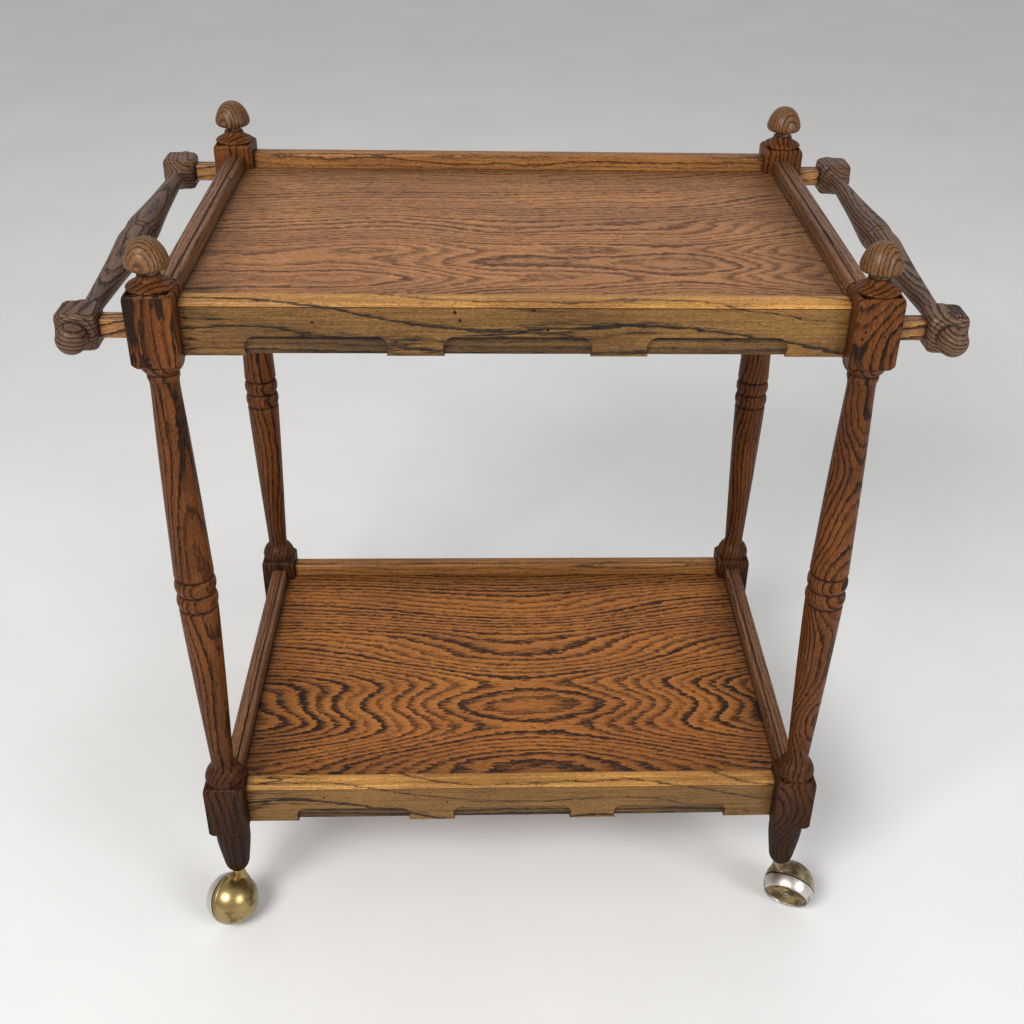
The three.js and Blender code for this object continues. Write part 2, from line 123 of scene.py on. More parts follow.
class Shader:
    """Builds one node material; every method returns the output socket it makes."""

    def __init__(self, name):
        self.material = bpy.data.materials.new(name)
        self.material.use_nodes = True
        self.tree = self.material.node_tree
        self.tree.nodes.clear()

    def node(self, kind, inputs=(), **settings):
        made = self.tree.nodes.new(kind)
        for setting, value in settings.items():
            setattr(made, setting, value)
        for key, value in dict(inputs).items():
            if isinstance(value, bpy.types.NodeSocket):
                self.tree.links.new(value, made.inputs[key])
            else:
                made.inputs[key].default_value = value
        return made

    def coordinates(self):
        return self.node("ShaderNodeTexCoord").outputs["Object"]

    def attribute(self, name):
        return self.node("ShaderNodeAttribute", attribute_name=name).outputs["Fac"]

    def math(self, operation, *values):
        return self.node("ShaderNodeMath", enumerate(values), operation=operation).outputs[0]

    def total(self, *values):
        result = values[0]
        for value in values[1:]:
            result = self.math("ADD", result, value)
        return result

    def vector(self, operation, first, second):
        place = "Scale" if operation == "SCALE" else 1
        made = self.node("ShaderNodeVectorMath", {0: first, place: second}, operation=operation)
        return made.outputs["Value" if operation in ("DISTANCE", "LENGTH") else "Vector"]

    def noise(self, vector, scale, detail=2, rough=0.5):
        inputs = {"Vector": vector, "Scale": scale, "Detail": detail, "Roughness": rough}
        return self.node("ShaderNodeTexNoise", inputs).outputs["Fac"]

    def span(self, value, low, high, to_low=0.0, to_high=1.0, smooth=True):
        inputs = {0: value, 1: low, 2: high, 3: to_low, 4: to_high}
        kind = "SMOOTHSTEP" if smooth else "LINEAR"
        return self.node("ShaderNodeMapRange", inputs, interpolation_type=kind).outputs[0]

    def ramp(self, value, stops):
        made = self.node("ShaderNodeValToRGB", {"Fac": value})
        elements = made.color_ramp.elements
        while len(elements) < len(stops):
            elements.new(0.5)
        for element, (position, colour) in zip(elements, stops):
            element.position = position
            element.color = (*colour, 1)
        return made.outputs["Color"]

    def mix(self, amount, first, second):
        made = self.node("ShaderNodeMix", data_type="RGBA")
        for key, value in ((0, amount), (6, first), (7, second)):
            if isinstance(value, bpy.types.NodeSocket):
                self.tree.links.new(value, made.inputs[key])
            elif isinstance(value, tuple):
                made.inputs[key].default_value = (*value, 1)
            else:
                made.inputs[key].default_value = value
        return made.outputs[2]

    def surface(self, colour, roughness, height=None, depth=0.1, **sockets):
        inputs = {"Base Color": colour, "Roughness": roughness, **sockets}
        if height is not None:
            bump = self.node("ShaderNodeBump", {
                "Height": height, "Strength": 1, "Distance": depth * MM,
            })
            inputs["Normal"] = bump.outputs["Normal"]
        shader = self.node("ShaderNodeBsdfPrincipled", inputs)
        output = self.node("ShaderNodeOutputMaterial")
        self.tree.links.new(shader.outputs[0], output.inputs["Surface"])


# Stain palettes, as linear colours: light wood, mid wood, dark ring.
STAINS = {
    "post": ((0.155, 0.05, 0.011), (0.07, 0.021, 0.005), (0.005, 0.0025, 0.0015)),
    "finial": ((0.18, 0.083, 0.028), (0.1, 0.04, 0.014), (0.009, 0.004, 0.003)),
    # The handles are greyed by a painted sky sheen on their tops.
    "handle": ((0.15, 0.078, 0.042), (0.084, 0.041, 0.023), (0.008, 0.004, 0.003)),
    "stretcher": ((0.36, 0.175, 0.056), (0.21, 0.09, 0.03), (0.018, 0.008, 0.004)),
    "apron": ((0.22, 0.11, 0.027), (0.1, 0.045, 0.011), (0.015, 0.008, 0.003)),
    "rail": ((0.35, 0.155, 0.043), (0.19, 0.078, 0.023), (0.016, 0.007, 0.003)),
    # The side rails are greyed by a painted sky sheen on their tops.
    "side": ((0.195, 0.088, 0.04), (0.11, 0.046, 0.021), (0.012, 0.006, 0.003)),
    # A darker apron oak for painted shade inside the scoops.
    "shaded_recess": ((0.135, 0.07, 0.02), (0.058, 0.028, 0.008), (0.01, 0.005, 0.002)),
    "top": ((0.4, 0.178, 0.061), (0.28, 0.112, 0.037), (0.05, 0.02, 0.011)),
    "shelf": ((0.45, 0.163, 0.028), (0.3, 0.096, 0.015), (0.018, 0.007, 0.003)),
}


# Carries each piece's grain to a place of its own in the noises, per step of its seed.
SCATTER = (61.7, 37.3, 91.1)
# The dark colour for grime and for painted shade alike.
GRIME_AND_SHADE = (0.007, 0.004, 0.003)


class Timber(Shader):
    """A shader that measures a piece in mm across the grain, as a and b, and along it, as g."""

    def __init__(self, name, along, seed):
        super().__init__(name)
        self.seed = seed
        self.place = self.coordinates()
        split = self.node("ShaderNodeSeparateXYZ", {0: self.place})
        across = [axis for axis in range(3) if axis != along]
        self.a, self.b, self.g = (
            self.math("MULTIPLY", split.outputs[axis], 1 / MM) for axis in (*across, along)
        )
        grain = self.node("ShaderNodeCombineXYZ", {0: self.a, 1: self.b, 2: self.g}).outputs[0]
        self.grain = self.vector("ADD", grain, tuple(seed * step for step in SCATTER))

    def field(self, scale, stretch, detail=2, harsh=0.5):
        """Noise drawn out along the grain; stretch is below 1."""
        stretched = self.vector("MULTIPLY", self.grain, (1, 1, stretch))
        return self.noise(stretched, scale, detail, harsh)

    def swing(self, scale, stretch, height, detail=2):
        """The same noise as a distance either side of nought."""
        return self.math("MULTIPLY_ADD", self.field(scale, stretch, detail), height * 2, -height)

    def bend(self, axis, length, size, phase):
        """A wave along a, b or g (0, 1 or 2), with its phase in turns."""
        travel = (self.a, self.b, self.g)[axis]
        turns = self.math("MULTIPLY_ADD", travel, math.tau / length, phase * math.tau)
        return self.math("MULTIPLY", self.math("SINE", turns), size)

    def growth(self, heart, lean, ring, waves, sway, warp, rough):
        """Rings counted out from the leaning heart, bent by slow waves and ragged by quick ones."""
        heart_a = self.math("MULTIPLY_ADD", self.g, lean[0], heart[0])
        heart_b = self.math("MULTIPLY_ADD", self.g, lean[1], heart[1])
        heart_b = self.total(heart_b, *(self.bend(*wave) for wave in sway))
        from_heart = self.node("ShaderNodeCombineXYZ", {
            0: self.math("SUBTRACT", self.a, heart_a), 1: self.math("SUBTRACT", self.b, heart_b),
        }).outputs[0]
        terms = [self.vector("LENGTH", from_heart, (0, 0, 0))]
        terms += [self.bend(*wave) for wave in waves]
        terms += [self.swing(0.014, 0.3, warp[0]), self.swing(0.07, 0.22, warp[1])]
        terms += [self.swing(0.35, 0.2, rough, 3), self.swing(1.1, 0.16, rough * 0.5)]
        return self.math("DIVIDE", self.total(*terms), ring)

    def early_wood(self, rings, early):
        """How much early wood there is, dense at each ring's start and weaker in some rings."""
        part = self.math("FRACT", rings)
        count = self.math("ADD", self.math("FLOOR", rings), self.seed)
        chance = self.node("ShaderNodeTexWhiteNoise", {"W": count}, noise_dimensions="1D")
        strength = self.span(chance.outputs["Value"], 0, 1, 0.45, 1, smooth=False)
        band = self.ramp(part, [
            (0, (0.3,) * 3), (early * 0.12, (1,) * 3), (early * 0.6, (0.85,) * 3),
            (early * 1.1, (0.3,) * 3), (early * 1.7, (0.08,) * 3), (1, (0.02,) * 3),
        ])
        return self.math("MULTIPLY", band, strength)

    def open_pores(self, density):
        """Short streaks, packed together in the early wood and scattered elsewhere."""
        fleck = self.total(
            self.math("MULTIPLY", self.field(0.7, 0.15, 2, 0.65), 0.55),
            self.math("MULTIPLY", self.field(1.6, 0.12, 2, 0.65), 0.45),
        )
        return self.span(self.math("MULTIPLY_ADD", density, 0.3, fleck), 0.56, 0.78)

    def grit_and_highlight(self):
        """Brightness from fine grit, and a painted highlight with some edge wear where the point
        attribute is below nought, along the aprons' nosing.
        """
        grit = self.span(self.field(1.2, 0.3, 3, 0.7), 0.3, 0.7, 0.5, 1.5, smooth=False)
        worn_and_highlit = self.span(self.attribute("grime_shade_glint"), -1, 0, 2.5, 1)
        return self.math("MULTIPLY", grit, worn_and_highlit)

    def groove_grime_and_shade(self):
        """Grime and painted shade where the point attribute is above nought: in grooves, quirks and
        joints.
        """
        return self.math("MULTIPLY", self.span(self.attribute("grime_shade_glint"), 0, 1), 0.9)

    def drying_cracks(self):
        """Thin dark lines along the grain, here and there, each in a soft shade."""
        line = self.math("ABSOLUTE", self.math("SUBTRACT", self.field(0.05, 0.1, 4, 0.62), 0.5))
        where = self.span(self.field(0.02, 0.2), 0.52, 0.62)
        thin = self.span(line, 0.004, 0.014, 1, 0)
        soft = self.span(line, 0.0, 0.05, 0.6, 0)
        return [self.math("MULTIPLY", mark, where) for mark in (thin, soft)]

    def dark_specks(self, share):
        """Specks along the grain, in a share of the cells that the piece is divided into."""
        cells = self.node("ShaderNodeTexVoronoi", {"Vector": self.grain, "Scale": 0.05})
        rare = self.node("ShaderNodeSeparateColor", {0: cells.outputs["Color"]}).outputs[0]
        dot = self.span(cells.outputs["Distance"], 0.04, 0.075, 1, 0)
        return self.math("MULTIPLY", dot, self.math("LESS_THAN", rare, share))

    def flight_hole(self, spot, size):
        away = self.vector("DISTANCE", self.place, tuple(part * MM for part in spot))
        return self.span(away, size * 0.6 * MM, size * MM, 1, 0)

    def dark_streak(self, spot, size):
        """A ragged dark patch, from its middle and its half size on each axis."""
        away = self.vector("SUBTRACT", self.place, tuple(part * MM for part in spot))
        away = self.vector("DIVIDE", away, tuple(part * MM for part in size))
        ragged = self.swing(0.3, 0.12, 1.1, 3)
        away = self.total(self.vector("LENGTH", away, (0, 0, 0)), ragged)
        return self.span(away, 0.75, 1.05, 0.88, 0)

    def edge_shade_and_grime(self, border):
        """Painted shade with grime where other parts meet or overhang: a dark line along the edges
        and a wide soft shade inside it, on each axis that has one.
        """
        marks = []
        for socket, (near, far) in zip((self.a, self.b, self.g), border):
            if far:
                out = self.math("ABSOLUTE", socket)
                marks.append(self.span(out, near, far, 0, 0.85))
                marks.append(self.span(out, near - 60, far, 0, 0.4))
        return marks


def wood(name, stain, along, seed, heart, lean=(0, 0), ring=6, waves=(), sway=(), warp=(14, 3),
         rough=2, early=0.4, contrast=1, cracks=False, specks=0, holes=(), stains=(), ends=None,
         border=(), dusk=None, gloss=0.42, shine=0.22):
    """Ring-porous oak cut from a log whose heart runs beside the piece.

    along is the grain's axis in the object's own coordinates. heart is the log's heart on the
    other two axes in mm, lean its drift per mm of length, ring the growth rings' width and early
    the dark porous part of each. waves are bends of the rings, and sway of the heart's depth:
    each an axis (0 and 1 across, 2 along), a length, a height and a phase in turns. warp and
    rough are the heights of slow and quick raggedness. ends is where painted shade with grime
    starts at the piece's ends, where it meets the posts, border where painted shade with grime
    next to other parts starts and stops on each axis, and dusk where the darker foot ends.
    """
    light, mid, dark = STAINS[stain]
    paint = Timber(name, along, seed)
    rings = paint.growth(heart, lean, ring, waves, sway, warp, rough)
    density = paint.early_wood(rings, early)
    pores = paint.open_pores(density)
    fibre = paint.field(0.7, 0.03, 3, 0.75)
    blotch = paint.field(0.016, 0.35)
    tone = paint.total(
        paint.math("MULTIPLY", fibre, 0.9), paint.math("MULTIPLY", blotch, 0.7), -0.3,
    )
    colour = paint.mix(paint.span(tone, 0.25, 0.75), mid, light)
    colour = paint.mix(paint.math("MULTIPLY", density, contrast * 0.66), colour, dark)
    colour = paint.mix(paint.math("MULTIPLY", pores, contrast * 0.9), colour, dark)
    colour = paint.vector("SCALE", colour, paint.grit_and_highlight())

    # The wood's own marks, holes, streaks, cracks and specks, are mixed with painted shade in
    # grooves, at the ends and along board edges, all towards one dark colour.
    marks = [paint.groove_grime_and_shade(), *paint.edge_shade_and_grime(border)]
    marks += [paint.flight_hole(spot, size) for *spot, size in holes]
    marks += [paint.dark_streak(spot, size) for spot, size in stains]
    if cracks:
        marks += paint.drying_cracks()
    if specks:
        marks.append(paint.dark_specks(specks))
    # Painted shade with some grime at the ends, where the piece meets the posts.
    if ends:
        marks.append(paint.span(paint.math("ABSOLUTE", paint.g), ends - 3, ends, 0, 0.8))
    if dusk:
        marks.append(paint.span(paint.g, *dusk, 0.8, 0))
    dirt_and_shade = marks[0]
    for mark in marks[1:]:
        dirt_and_shade = paint.math("MAXIMUM", dirt_and_shade, mark)
    colour = paint.mix(dirt_and_shade, colour, GRIME_AND_SHADE)

    height = paint.math("SUBTRACT", 1, paint.math("MULTIPLY", pores, 0.9))
    height = paint.math("SUBTRACT", height, dirt_and_shade)
    roughness = paint.total(
        paint.math("MULTIPLY", pores, 0.2), paint.math("MULTIPLY", blotch, 0.16),
        paint.math("MULTIPLY", dirt_and_shade, 0.25), gloss - 0.08,
    )
    paint.surface(colour, roughness, height, 0.16, **{
        "Coat Weight": 0.05, "Coat Roughness": 0.2, "IOR": 1.5, "Specular IOR Level": shine,
    })
    return paint.material


def metal(name, bright, dull, tarnish, roughness, seed):
    """Plated or solid metal with cloudy tarnish, fine scratches, and grime with painted shade in its
    recesses.
    """
    paint = Shader(name)
    place = paint.vector("ADD", paint.coordinates(), (seed * 0.31, seed * 0.17, seed * 0.23))
    cloud = paint.noise(place, 55, 4, 0.62)
    fine = paint.noise(place, 420, 3, 0.6)
    scratch = paint.noise(paint.vector("MULTIPLY", place, (1, 1, 0.08)), 1600, 1)
    amount = paint.span(cloud, 0.62 - tarnish * 0.35, 0.78 - tarnish * 0.2)
    amount = paint.math("MULTIPLY", amount, min(1, 0.45 + tarnish))
    colour = paint.mix(amount, bright, dull)
    # Grime with painted shade in the hollows, from the point attribute.
    groove_grime_and_shade = paint.span(paint.attribute("grime_shade_glint"), 0.0, 1.0)
    speck = paint.span(fine, 0.62, 0.72)
    dirt_and_shade = paint.math("MAXIMUM", groove_grime_and_shade, paint.math("MULTIPLY", speck, 0.35 + tarnish * 0.4))
    colour = paint.mix(dirt_and_shade, colour, (0.03, 0.02, 0.012))
    rough = paint.total(
        paint.math("MULTIPLY", amount, 0.22), paint.math("MULTIPLY", fine, 0.1),
        paint.math("MULTIPLY", dirt_and_shade, 0.3), roughness - 0.05,
    )
    height = paint.total(paint.math("MULTIPLY", scratch, 0.3), cloud)
    paint.surface(colour, rough, height, 0.05, **{"Metallic": 0.95})
    return paint.material


# -------------------------------------------------------------------- geometry

def build(name, points, faces, material, matrix=None, grime_shade_glint=None):
    """A smooth-shaded mesh object from points in mm."""
    mesh = bpy.data.meshes.new(name)
    mesh.from_pydata([tuple(p) for p in np.asarray(points, float) * MM], [], faces)
    mesh.materials.append(material)
    # Each point's grime with painted shade in hollows, and painted highlight with edge wear below
    # nought.
    if grime_shade_glint is not None:
        mesh.attributes.new("grime_shade_glint", "FLOAT", "POINT").data.foreach_set("value", grime_shade_glint)
    mesh.validate()
    mesh.shade_smooth()
    mesh.set_sharp_from_angle(angle=math.radians(CREASE))
    piece = bpy.data.objects.new(name, mesh)
    bpy.context.scene.collection.objects.link(piece)
    if matrix is not None:
        piece.matrix_world = matrix
    return piece


def curve_through(profile, steps=5):
    """Points (r, z) joined by smooth curves; a third entry, truthy, keeps a corner sharp."""
    points = [np.array(entry[:2], float) for entry in profile]
    sharp = [len(entry) > 2 and bool(entry[2]) for entry in profile]
    last = len(points) - 1
    out = [points[0]]
    for i in range(last):
        start, end = points[i], points[i + 1]
        before = start - (end - start) if i == 0 or sharp[i] else points[i - 1]
        after = end + (end - start) if i + 1 == last or sharp[i + 1] else points[i + 2]
        if (i == 0 or sharp[i]) and (i + 1 == last or sharp[i + 1]):
            out.append(end)
            continue
        gap = np.linalg.norm(end - start)
        leave = (end - before) / (1e-9 + np.linalg.norm(end - before)) * gap
        arrive = (after - start) / (1e-9 + np.linalg.norm(after - start)) * gap
        for step in range(1, steps + 1):
            t = step / steps
            out.append(
                start * (2 * t**3 - 3 * t**2 + 1) + leave * (t**3 - 2 * t**2 + t)
                + end * (3 * t**2 - 2 * t**3) + arrive * (t**3 - t**2)
            )
    return np.array(out)


def hollowness(outline):
    """How far each point of a turned outline lies in a groove, from nought to one."""
    reach, full_depth = 3.2, 1.3
    steps = np.linalg.norm(np.diff(outline, axis=0), axis=1)
    travel = np.concatenate([[0], np.cumsum(steps)])
    value = np.zeros(len(outline))
    for i, here in enumerate(travel):
        low = np.interp(here - reach, travel, outline[:, 0])
        high = np.interp(here + reach, travel, outline[:, 0])
        value[i] = (min(low, high) - outline[i, 0]) / full_depth
    return np.clip(value, 0, 1)


def stitch(rings):
    """Quads between rings of point numbers; a ring of one point becomes a fan."""
    faces = []
    for lower, upper in zip(rings, rings[1:]):
        count = max(len(lower), len(upper))
        for i in range(count):
            j = (i + 1) % count
            if len(lower) == 1:
                faces.append((lower[0], upper[j], upper[i]))
            elif len(upper) == 1:
                faces.append((lower[i], lower[j], upper[0]))
            else:
                faces.append((lower[i], lower[j], upper[j], upper[i]))
    return faces


def lathe(profile, facets=72, steps=5):
    """Points, faces and groove shade of a piece turned about Z: grime with painted shade, deepest in
    grooves.
    """
    outline = curve_through(profile, steps)
    angles = np.linspace(0, 2 * math.pi, facets, endpoint=False)
    points, rings, grime_shade_glint = [], [], []
    for (radius, z), hollow in zip(outline, hollowness(outline)):
        ring = [0.0] if radius < 1e-6 else angles
        rings.append(list(range(len(points), len(points) + len(ring))))
        for angle in ring:
            points.append((radius * math.cos(angle), radius * math.sin(angle), z))
            grime_shade_glint.append(hollow)
    return points, stitch(rings), grime_shade_glint


def corner_angles():
    """Angles round the axis, closer together at the four corners of a square."""
    spread = np.radians([0.35, 0.8, 1.3, 1.9, 2.6, 3.6, 5.2])
    extra = [
        math.pi / 4 + quarter * math.pi / 2 + side * offset
        for quarter in range(4) for side in (-1, 1) for offset in spread
    ]
    even = np.linspace(0, 2 * math.pi, 80, endpoint=False)
    return np.array(sorted(set(np.round(np.concatenate([even, extra]) % (2 * math.pi), 6))))


ANGLES = corner_angles()


def square_reach(half, corner):
    """Distance from the axis to a square with rounded corners, at each angle."""
    c, s = np.abs(np.cos(ANGLES)), np.abs(np.sin(ANGLES))
    flat = half / np.maximum(c, s)
    middle = half - corner
    inside = np.maximum(middle**2 * (c + s)**2 - 2 * middle**2 + corner**2, 0)
    rounded = middle * (c + s) + np.sqrt(inside)
    return np.where(flat * np.minimum(c, s) > middle, rounded, flat)


def block_rounds(low, high, width, corner, ease, edge, cut):
    """Height, reach and groove shade, nought here, of each round of points up one square block."""
    half_diagonal = width * math.sqrt(0.5)
    depths = [edge * step for step in (0, 0.04, 0.15, 0.33, 0.6, 1)]
    depths += [edge + (ease - edge) * step for step in (0.2, 0.4, 0.6, 0.8, 1)]
    levels = [(low + depth, depth) for depth in depths]
    levels += [(z, z - low) for z in np.linspace(low, high, 7)[1:-1]]
    levels += [(high - depth, depth) for depth in depths]
    rounds = []
    for z, depth in sorted(set(levels)):
        inset = edge * (1 - math.sqrt(1 - (1 - min(depth / edge, 1)) ** 2))
        near = min(depth / ease, 1)
        soft = half_diagonal - cut + (cut + 0.8) * (1 - (1 - near) ** 2)
        reach = np.minimum(square_reach(width / 2 - inset, corner), soft)
        rounds.append((z, reach, 0.0))
    return rounds


def turned_with_blocks(profile, blocks, **shape):
    """A turning with square blocks left on it.

    shape has the blocks' width, corner and edge, which round their long and short edges, and
    ease and cut, the height and depth by which the turning takes off the tips of their corners.
    """
    outline = curve_through(profile)
    rounds = []
    for (radius, z), hollow in zip(outline, hollowness(outline)):
        if not any(low < z < high for low, high in blocks):
            rounds.append((z, np.full(len(ANGLES), radius), hollow))
    for low, high in blocks:
        rounds += block_rounds(low, high, **shape)
        for z, step in ((low, -1e-4), (high, 1e-4)):
            radius = np.interp(z, outline[:, 1], outline[:, 0])
            # A little grime with painted shade where the turning meets a block.
            rounds.append((z + step, np.full(len(ANGLES), radius), 0.15))
    rounds.sort(key=lambda entry: entry[0])
    points, rings, grime_shade_glint = [], [], []
    for z, reach, hollow in rounds:
        if reach.max() < 1e-6:
            rings.append([len(points)])
            points.append((0, 0, z))
            grime_shade_glint.append(hollow)
            continue
        rings.append(list(range(len(points), len(points) + len(reach))))
        for radius, angle in zip(reach, ANGLES):
            points.append((radius * math.cos(angle), radius * math.sin(angle), z))
            grime_shade_glint.append(hollow)
    return points, stitch(rings), grime_shade_glint


def extrude(near, far):
    """A closed solid between two outlines, which turn anticlockwise seen from the far end."""
    count = len(near)
    faces = [tuple(range(count))[::-1], tuple(range(count, 2 * count))]
    for i in range(count):
        j = (i + 1) % count
        faces.append((i, j, j + count, i + count))
    return near + far, faces


def prism(section, low, high):
    """Points, faces and painted marks of a bar along X; a section point's third entry is grime with
    painted shade above nought, and a painted highlight with edge wear below it.
    """
    grime_shade_glint = [float(value[0]) if value else 0.0 for y, z, *value in section]
    outlines = ([(x, y, z) for y, z, *_ in section] for x in (low, high))
    return *extrude(*outlines), grime_shade_glint * 2


def arc(centre, radius, start, end, steps):
    """Points on a circle between two angles in degrees."""
    turns = np.radians(np.linspace(start, end, steps + 1))
    return [(centre[0] + radius * math.cos(t), centre[1] + radius * math.sin(t)) for t in turns]


def settle(piece):
    """Applies a piece's modifiers and sets its shading again."""
    graph = bpy.context.evaluated_depsgraph_get()
    mesh = bpy.data.meshes.new_from_object(piece.evaluated_get(graph))
    piece.modifiers.clear()
    piece.data = mesh
    mesh.shade_smooth()
    mesh.set_sharp_from_angle(angle=math.radians(CREASE))


def bevel(piece, width):
    modifier = piece.modifiers.new("bevel", "BEVEL")
    modifier.width = width * MM
    modifier.segments = 3
    modifier.limit_method = "ANGLE"
    modifier.angle_limit = math.radians(40)


def combine(piece, tool, operation):
    """Joins, cuts or intersects a piece with a tool, and removes the tool."""
    modifier = piece.modifiers.new(operation.lower(), "BOOLEAN")
    modifier.operation = operation
    modifier.solver = "EXACT"
    modifier.object = tool
    bpy.context.view_layer.update()
    settle(piece)
    bpy.data.objects.remove(tool)


def hand_over(piece, body, slot, *nodes):
    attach(piece, body)
    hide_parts(*nodes)


def dress(node, look):
    """Gives a node of the exact model its material, where it needs no finer shape."""
    mesh = frame["nodes"][node].data
    mesh.materials.clear()
    mesh.materials.append(look)


def centre_of(node):
    low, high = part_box(node)
    return (low + high) / 2


# ------------------------------------------------------------- posts and finials

POST_PROFILE = [
    (0, 62.5, 1), (6.4, 62.5, 1), (8, 63.2), (11.8, 69.5), (13.6, 80), (15.4, 93), (16.8, 105),
    (17.2, 117.6, 1), (16.5, 118.4, 1), (17.3, 119.2, 1), (17.4, 126),
    (17.4, 190.2, 1), (17, 191.2, 1), (18.4, 192.6), (18.9, 195), (18.2, 198.6), (15.9, 203.8),
    (12.2, 208.6), (11, 213), (11.3, 226), (13.2, 274), (15.2, 326), (17, 380), (17.6, 404, 1),
    (16.1, 406.6, 1), (17.4, 408.2), (18.4, 412), (18.4, 416), (17.2, 420.4, 1),
    (15.7, 422.6, 1), (17.3, 424.6), (18.4, 428.6), (18.3, 433.4), (17.2, 437, 1),
    (16, 439, 1), (17.7, 441.8, 1), (17, 466), (15.4, 530), (13.6, 586), (11.9, 628),
    (12.2, 636, 1), (13.1, 637.4), (13.2, 640.6), (12.3, 642.2, 1), (13.4, 643.4), (16, 646),
    (17.8, 649.4), (18.4, 652), (17.4, 653.4), (17.4, 714), (17.2, 715.3, 1), (17.2, 715.8, 1),
    (18.9, 716.4), (18.7, 717.6), (16.4, 719.4), (12.6, 721.4), (10, 723.6), (9.2, 726.5, 1),
    (0, 726.5, 1),
]
POST_BLOCKS = ((125.8, 190.2), (652, 715.3))
POST_SHAPE = {"width": 38.5, "corner": 1.2, "ease": 9, "edge": 3.2, "cut": 4.6}
FINIAL_PROFILE = [
    (0, 726.9, 1), (7.8, 726.9, 1), (7.4, 729.4), (8.6, 730.8), (13.2, 731.4), (16.2, 732.8),
    (17.4, 735.8), (16.9, 739.6), (14.9, 745.4), (11.8, 750.4), (7.8, 754.1), (3.6, 755.7),
    (0, 756, 1),
]

# Small flight holes in the posts' front faces: x, y, z and radius about a post's axis.
FLIGHT_HOLES = {
    "front_left": [(-5, -19.2, 662, 1.9), (-4.5, -19.2, 656.5, 1.7)],
    "front_right": [
        (-12, -19.2, 681, 1.5), (-10, -19.2, 687, 1.4), (-7.5, -19.2, 679, 1.2),
        (6, -19.2, 683, 1.1),
    ],
    "back_left": [],
    "back_right": [],
}
# Streaks where the stain went nearly black: middle and half size about a post's axis.
STREAKS = {
    "front_left": [
        ((-14, -18, 700), (5.5, 5, 40)), ((8.5, -19, 706), (3.4, 5, 16)),
        ((10, -17, 160), (5, 6, 34)),
    ],
    "front_right": [((18, -4, 690), (4, 8, 26))],
    "back_left": [((2, -19, 170), (4, 6, 30))],
    "back_right": [],
}
# Where each post's heart lies from its axis, how it leans, and how its rings bend.
POST_GRAIN = {
    "front_left": ((-34, 12), (0.02, 0.01), [(2, 210, 3, 0.1)]),
    "front_right": ((-30, 14), (0.02, 0.02), [(2, 190, 9, 0.9), (2, 83, 2, 0)]),
    "back_left": ((-30, -12), (0.02, 0.03), [(2, 260, 3, 0.4)]),
    "back_right": ((28, -20), (0.03, 0.02), [(2, 240, 4, 0.2)]),
}
# Each finial's heart lies in front of its head, so that no end grain faces forward.
FINIAL_HEARTS = {
    "front_left": (-6, -36),
    "front_right": (22, -30),
    "back_left": (-14, -34),
    "back_right": (12, -36),
}


def make_posts():
    points, faces, grime_shade_glint = turned_with_blocks(POST_PROFILE, POST_BLOCKS, **POST_SHAPE)
    acorn, acorn_faces, shade = lathe(FINIAL_PROFILE, steps=6)
    for seed, corner in enumerate(CORNERS, 1):
        axis = Vector(JOINTS["swivel_" + corner]["pos_m"])
        stand = Matrix.Translation((axis.x, axis.y, 0))
        heart, lean, waves = POST_GRAIN[corner]
        look = wood("oak_post_" + corner, "post", 2, seed, heart, lean, ring=4.5, waves=waves,
                    warp=(7, 2.6), rough=1.3, early=0.36, specks=0.05, dusk=(90, 330),
                    holes=FLIGHT_HOLES[corner], stains=STREAKS[corner], gloss=0.42, shine=0.09)
        post = build("turned_post_" + corner, points, faces, look, stand, grime_shade_glint)
        hand_over(post, "frame", "post_oak", "post_" + corner)
        look = wood("oak_finial_" + corner, "finial", 2, seed + 20, FINIAL_HEARTS[corner],
                    ring=3.2, warp=(2, 0.8), rough=0.7, early=0.34, gloss=0.38)
        finial = build("acorn_finial_" + corner, acorn, acorn_faces, look, stand, shade)
        hand_over(finial, "frame", "finial_oak", "finial_" + corner)


# ------------------------------------------------------- rails, aprons and panels

# The exact rails and aprons end in tenons this long, which are hidden in the posts.
TENON = 11
# Where a rail's heart lies from the middle of its top, and an apron's from its lower front edge.
RAIL_HEART = (-34, 12)
APRON_HEART = (70, -60)
# How far from a board's middle its painted shade and grime next to the rails start and stop: across
# it, upwards and along it.
BOARD_EDGE_SHADE = ((176, 183), (0, 0), (270, 277))


def beaded_section(top, bottom, inner, outer):
    """A rail's section: flat top, a quirk, and a bead along the inner edge."""
    bead = 2.6
    # The quirk's third entries are grime with painted shade.
    return [
        (inner, bottom + 0.8), (inner + 0.8, bottom), (outer - 0.8, bottom), (outer, bottom + 0.8),
        *arc((outer - 1.8, top - 1.8), 1.8, 0, 90, 5),
        (inner + 2 * bead + 1.3, top), (inner + 2 * bead + 0.9, top - 1.8, 0.6),
        (inner + 2 * bead + 0.2, top - 1.8, 0.6),
        *arc((inner + bead, top - bead), bead, 10, 180, 12),
        (inner + 0.1, top - bead - 2),
    ]


